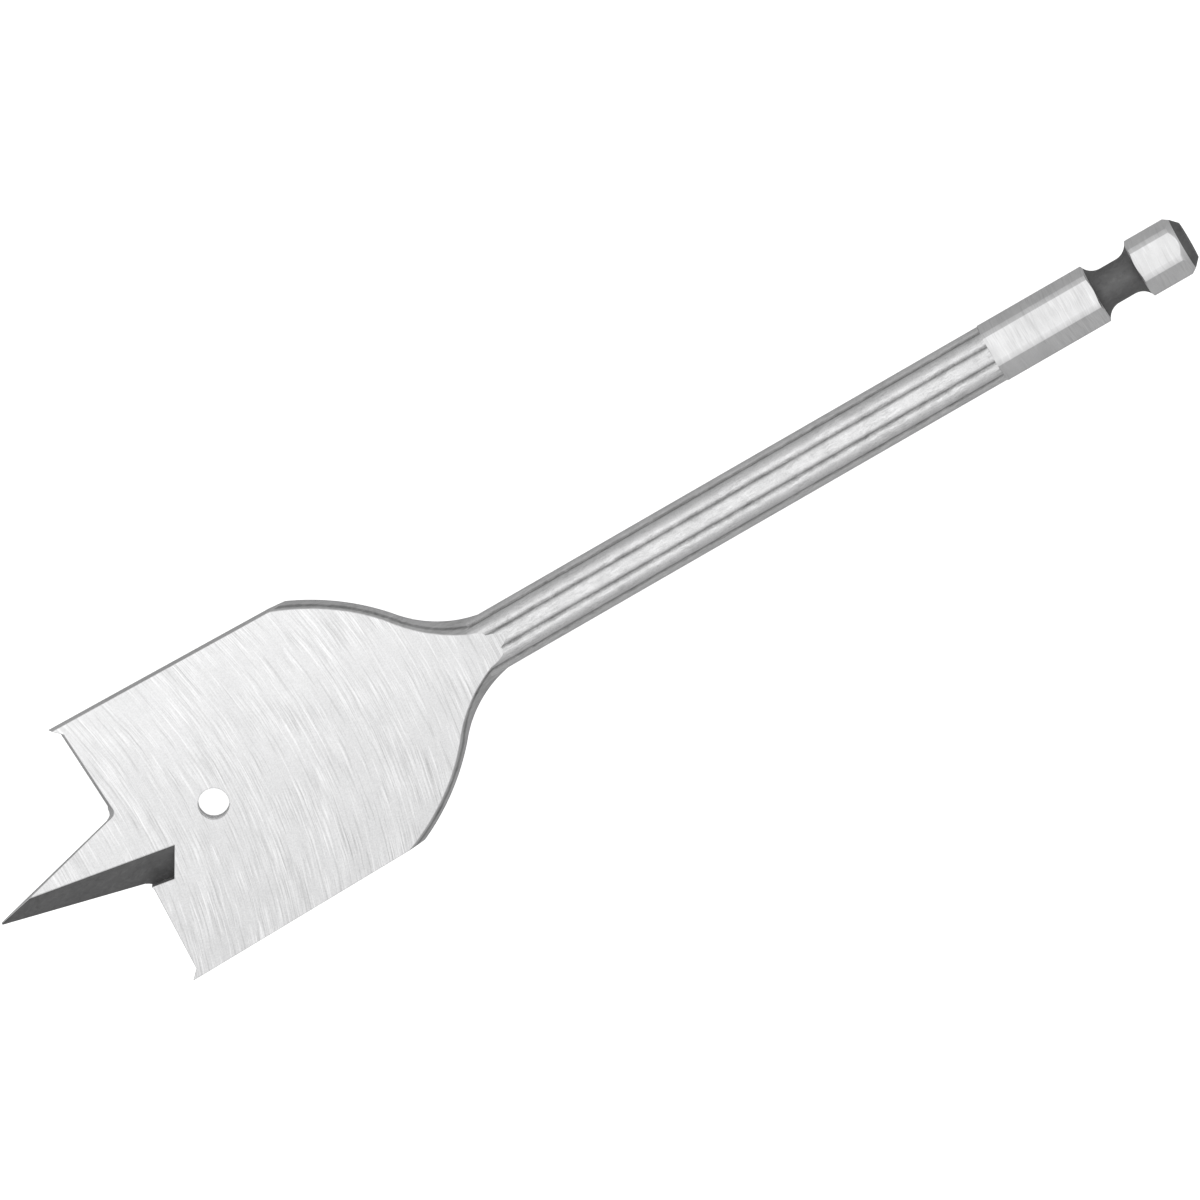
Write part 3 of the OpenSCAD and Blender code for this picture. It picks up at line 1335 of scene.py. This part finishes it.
@dataclass(frozen=True)
class Shank:
    """The hexagonal shank, with rounded corners, a retaining groove and a tapered end.

    Attributes:
        length: The length of the shank.
        across: The distance across its flats.
        flats: The number of flats.
        corner_r: The radius of the turned corners.
        turn: The turn of the hexagon about the axis.
        groove_setback: The distance of the groove's middle from the end.
        groove_bottom_r: The radius at the bottom of the groove.
        groove_flat_l: The length of the groove's bottom.
        groove_r: The radius of the groove's sides.
        dark_groove_r: The radius up to which the groove is dark.
        arc_steps: The number of sides of each side of the groove.
        taper_l: The length of the tapered end.
        knee_r: The radius where the taper gets steeper, and where its dark finish starts.
        knee_l: The length of the steeper part.
        end_r: The radius of the end face.
        turned_sides: The number of sides of the turned outline.
    """

    length: float = 25.1
    across: float = 6.35
    flats: int = 6
    corner_r: float = 3.48
    turn: float = -15.0
    groove_setback: float = 9.1
    groove_bottom_r: float = 2.185
    groove_flat_l: float = 2.0
    groove_r: float = 1.9
    dark_groove_r: float = 3.08
    arc_steps: int = 24
    taper_l: float = 1.45
    knee_r: float = 3.04
    knee_l: float = 0.8
    end_r: float = 2.2
    turned_sides: int = 192

    def profile(self) -> list[tuple[float, float]]:
        """Draws the turned outline of the shank, with its groove and end taper.

        Returns:
            Pairs of radius and distance from the start of the shank.
        """
        middle = self.length - self.groove_setback
        centre_r = self.groove_bottom_r + self.groove_r
        reach = math.acos((centre_r - self.corner_r) / self.groove_r)
        side = []
        for step in range(self.arc_steps + 1):
            angle = reach * (1 - step / self.arc_steps)
            radius = centre_r - self.groove_r * math.cos(angle)
            side.append((radius, self.groove_r * math.sin(angle)))
        half = self.groove_flat_l / 2
        down = [(radius, middle - half - run) for radius, run in side]
        up = [(radius, middle + half + run) for radius, run in reversed(side)]
        ends = [
            (self.corner_r, self.length - self.taper_l),
            (self.knee_r, self.length - self.knee_l),
            (self.end_r, self.length),
        ]
        return [(self.corner_r, 0.0), *down, *up, *ends]

    def is_dark(self, face: bpy.types.MeshPolygon) -> bool:
        """Tells whether a face of the turned outline has the dark finish.

        Args:
            face: The face, before the shank is laid along +X.

        Returns:
            True in the groove and at the end, and False elsewhere and where the shank starts.
        """
        at_end = face.center.z > self.length - self.groove_setback / 2
        limit = self.knee_r if at_end else self.dark_groove_r
        return face.center.z > NEAR and face.center.xy.length < limit

    def build(self, start: float, finish: Finishes) -> bpy.types.Object:
        """Makes the shank: a hexagonal bar, turned down to its outline.

        Args:
            start: Where the shank starts.
            finish: The finishes of the bit.

        Returns:
            The shank, along +X.
        """
        shank = Workshop.turned("shank", self.profile(), self.turned_sides, finish.flat)
        Workshop.assign(shank, finish.dark, self.is_dark)
        Workshop.clear()
        bpy.ops.mesh.primitive_cylinder_add(
            vertices=self.flats,
            radius=self.across / 2 / math.cos(math.pi / self.flats),
            depth=self.length + 4 * OVER,
            location=(0, 0, self.length / 2),
        )
        bar = Workshop.name_new("hex_bar", finish.flat)
        Workshop.place(bar, turn=(0, 0, self.turn))
        Workshop.combine(shank, bar, Cut.KEEP_COMMON)
        return Workshop.place(shank, turn=(0, 90, 0), move=(start, 0, 0))


@dataclass(frozen=True)
class SpadeBit:
    """The whole bit, forged in one piece.

    Attributes:
        overall_l: The length from the tip to the end of the shank.
        blade: The blade.
        shaft: The shaft.
        shank: The shank.
        edge_break: The width of the bevel on sharp edges.
        sharp_angle: The least angle between the faces of a sharp edge.
        lengthwise: The least share of an edge's length that runs along the axis, on the flats.
        shank_margin: How far the edges of the shank may reach past its start.
        weld: The distance within which points are joined before the bevel.
        smooth_angle: The largest angle that is shaded smooth.
    """

    overall_l: float = 152.0
    blade: Blade = field(default_factory=Blade)
    shaft: Shaft = field(default_factory=Shaft)
    shank: Shank = field(default_factory=Shank)
    edge_break: float = 0.05
    sharp_angle: float = 17.0
    lengthwise: float = 0.99
    shank_margin: float = 0.1
    weld: float = 0.006
    smooth_angle: float = 18.0

    @property
    def shank_u(self) -> float:
        """Where the shank starts."""
        return self.overall_l - self.shank.length

    def sharp_edges(self, bit: bpy.types.Object) -> list[bpy.types.MeshEdge]:
        """Finds the outer edges that a hand would feel, apart from those between two reeds.

        Args:
            bit: The bit.

        Returns:
            The edges.
        """
        mesh = bit.data
        beside: dict[tuple[int, int], list[bpy.types.MeshPolygon]] = {}
        for face in mesh.polygons:
            for key in face.edge_keys:
                beside.setdefault(key, []).append(face)
        reed = mesh.materials.find("rolled_reeds")
        limit = math.cos(math.radians(self.sharp_angle))
        found = []
        for edge in mesh.edges:
            faces = beside.get(edge.key, [])
            if len(faces) != 2 or any(face.material_index == reed for face in faces):
                continue
            first, second = faces
            ends = [mesh.vertices[i].co for i in edge.vertices]
            straight = abs((ends[1] - ends[0]).normalized().x) > self.lengthwise
            on_shank = min(end.x for end in ends) > self.shank_u - self.shank_margin
            bends = first.normal.dot(second.normal) < limit
            outer = (second.center - first.center).dot(first.normal) < 0
            if bends and outer and (straight or not on_shank):
                found.append(edge)
        return found

    @staticmethod
    def weld_points(bit: bpy.types.Object, distance: float) -> None:
        """Joins points of the bit, which is open in edit mode, and closes it.

        Args:
            bit: The bit.
            distance: The distance within which points are joined.
        """
        bpy.ops.mesh.select_mode(type="VERT")
        bpy.ops.mesh.select_all(action="SELECT")
        bpy.ops.mesh.remove_doubles(threshold=distance)
        bpy.ops.mesh.dissolve_degenerate(threshold=distance)
        Workshop.done(bit)

    def break_edges(self, bit: bpy.types.Object) -> None:
        """Breaks the sharp outer edges with a fine bevel, as the last polish leaves them.

        Args:
            bit: The bit.
        """
        Workshop.edit(bit)
        self.weld_points(bit, self.weld)
        points = bit.data.vertices
        short = {
            edge.index
            for edge in self.sharp_edges(bit)
            if (points[edge.vertices[0]].co - points[edge.vertices[1]].co).length < self.edge_break
        }
        Workshop.select_edges(bit, lambda edge: edge.index in short, "EDGE")
        bpy.ops.mesh.merge(type="COLLAPSE")
        Workshop.done(bit)
        sharp = {edge.index for edge in self.sharp_edges(bit)}
        Workshop.select_edges(bit, lambda edge: edge.index in sharp, "EDGE")
        bpy.ops.mesh.bevel(offset=self.edge_break, segments=1, affect="EDGES", clamp_overlap=False)
        self.weld_points(bit, self.weld / 4)

    def roll_on(self, height: float) -> float:
        """Finds the roll at which the blade's edge is as low as the shaft.

        Args:
            height: The height of the axis above the bench.

        Returns:
            The roll about the axis, in degrees.
        """
        wide, thick = self.blade.cut_r, self.blade.half_t
        return math.degrees(math.asin(height / math.hypot(wide, thick)) - math.atan(thick / wide))

    def rest_roll(self) -> float:
        """Finds the roll at which the lowest reed and the lower edge of the blade touch the bench.

        Returns:
            The roll about the axis, in degrees.
        """
        shaft = self.shaft
        first = shaft.reed_turn + self.roll_on(shaft.radius)
        turns = [math.radians(first + i * 360 / shaft.reeds) for i in range(shaft.reeds)]
        lowest = shaft.centre_r * max(math.cos(turn) for turn in turns)
        return self.roll_on(shaft.reed_r + lowest)

    def build(self, finish: Finishes) -> bpy.types.Object:
        """Forges, grinds and joins the bit, and lays it as it rests.

        Args:
            finish: The finishes of the bit.

        Returns:
            The finished piece, in metres, in the frame of the CAD model.
        """
        bit = self.blade.blank(finish)
        self.blade.cut_shoulders(bit, finish)
        shaft = self.shaft.build(self.blade.shoulder_u, self.shank_u, finish)
        Workshop.combine(bit, shaft, Cut.ADD)
        self.blade.grind(bit, finish)
        Workshop.combine(bit, self.shank.build(self.shank_u, finish), Cut.ADD)
        bit.name = "ground_bit"
        self.break_edges(bit)
        Workshop.place(bit, move=(-self.overall_l, 0, 0))
        Workshop.place(bit, turn=(self.rest_roll(), 0, 0), scale=MM)
        Workshop.take(bit)
        bpy.ops.object.shade_smooth_by_angle(angle=math.radians(self.smooth_angle))
        return bit


@dataclass(frozen=True)
class Studio:
    """The floor, the light tent and the camera of the photograph, in metres.

    Attributes:
        picture_angle: The angle of the bit in the picture.
        lean: The angle by which the camera leans along the bit.
        lens: The camera's focal length, in millimetres.
        sensor: The width of its sensor, in millimetres.
        clip_start: The distance at which it starts to see.
        frame_width: The width of what the picture shows.
        tip: The place of the bit's tip.
        right_of_tip: How far the picture's middle lies to the right of the tip.
        above_tip: How far it lies above the tip.
        floor_size: The width of the floor.
        floor_glow: The light that the floor adds to the picture.
        floor_tone: The grey of the floor.
        floor_roughness: The roughness of the floor.
        roof: The light from the tent's roof.
        wall: The light from its walls.
        roof_height: The height where the roof starts, as a share of the way straight up.
        wall_height: The height where the walls end.
    """

    picture_angle: float = 29.95
    lean: float = 4.0
    lens: float = 1000.0
    sensor: float = 36.0
    clip_start: float = 0.01
    frame_width: float = 0.13304
    tip: tuple[float, float, float] = (-0.152, 0.0, 0.0)
    right_of_tip: float = 0.0663
    above_tip: float = 0.0359
    floor_size: float = 8.0
    floor_glow: float = 0.95
    floor_tone: float = 0.5
    floor_roughness: float = 0.9
    roof: float = 1.07
    wall: float = 0.6
    roof_height: float = 0.88
    wall_height: float = 0.38

    def camera(self) -> bpy.types.Object:
        """Places the camera above the bit, turned so that the bit lies as in the photograph.

        Returns:
            The camera.
        """
        lean, turn = math.radians(self.lean), math.radians(self.picture_angle)
        along = Vector((math.cos(lean), 0, -math.sin(lean)))
        across = Vector((0, 1, 0))
        right = math.cos(turn) * along - math.sin(turn) * across
        up = math.sin(turn) * along + math.cos(turn) * across
        back = right.cross(up)
        target = Vector(self.tip) + self.right_of_tip * right + self.above_tip * up
        Workshop.clear()
        bpy.ops.object.camera_add()
        camera = bpy.context.object
        camera.name = "camera"
        camera.data.lens = self.lens
        camera.data.sensor_width = self.sensor
        camera.data.clip_start = self.clip_start
        distance = self.frame_width * self.lens / self.sensor
        turned = Matrix((right, up, back)).transposed().to_4x4()
        camera.matrix_world = Matrix.Translation(target + back * distance) @ turned
        bpy.context.scene.camera = camera
        return camera

    def floor(self, height: float) -> bpy.types.Object:
        """Lays a plain pale floor under the bit.

        Args:
            height: The height of the bit's lowest point.

        Returns:
            The floor.
        """
        Workshop.clear()
        bpy.ops.mesh.primitive_plane_add(size=self.floor_size, location=(0, 0, height))
        paper = bpy.data.materials.new("floor_paper")
        paper.use_nodes = True
        sheet = Sheet(paper.node_tree)
        shader = paper.node_tree.nodes["Principled BSDF"]
        tone = self.floor_tone
        shader.inputs["Base Color"].default_value = (tone, tone, tone, 1)
        shader.inputs["Roughness"].default_value = self.floor_roughness
        shader.inputs["Specular IOR Level"].default_value = 0.0
        seen = sheet.node("LightPath").outputs["Is Camera Ray"]
        sheet.tree.links.new(seen, shader.inputs["Emission Color"])
        shader.inputs["Emission Strength"].default_value = self.floor_glow
        floor = Workshop.name_new("floor", paper)
        floor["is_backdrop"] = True
        return floor

    def tent(self) -> None:
        """Sets up the light tent, brightest overhead, which the camera sees as plain white."""
        world = bpy.data.worlds.new("light_tent")
        bpy.context.scene.world = world
        world.use_nodes = True
        sheet = Sheet(world.node_tree)
        way = sheet.node("TexCoord").outputs["Generated"]
        upward = sheet.node("SeparateXYZ", {0: way}).outputs[2]
        glow = Step(self.wall_height, self.roof_height, self.wall, self.roof)
        seen = sheet.node("LightPath").outputs["Is Camera Ray"]
        tone = sheet.math("MAXIMUM", sheet.step(upward, glow), seen)
        sheet.tree.links.new(tone, world.node_tree.nodes["Background"].inputs["Color"])

    def build(self, height: float) -> None:
        """Sets up the floor, the light tent and the camera.

        Args:
            height: The height of the bit's lowest point.
        """
        self.floor(height)
        self.tent()
        view = bpy.context.scene.view_settings
        view.view_transform = "Standard"
        view.look = "None"
        self.camera()


def main() -> None:
    """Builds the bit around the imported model, and the studio around the bit."""
    logging.basicConfig(level=logging.INFO, format="%(name)s: %(message)s")
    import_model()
    cad_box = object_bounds()
    design = SpadeBit()
    bit = design.build(Finishes.make(design.rest_roll(), design.overall_l))
    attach(bit, "root")
    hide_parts("spade_bit")
    LOG.info("%s: %d faces", bit.name, len(bit.data.polygons))
    Studio().build(cad_box[0].z)


if __name__ == "__main__":
    main()
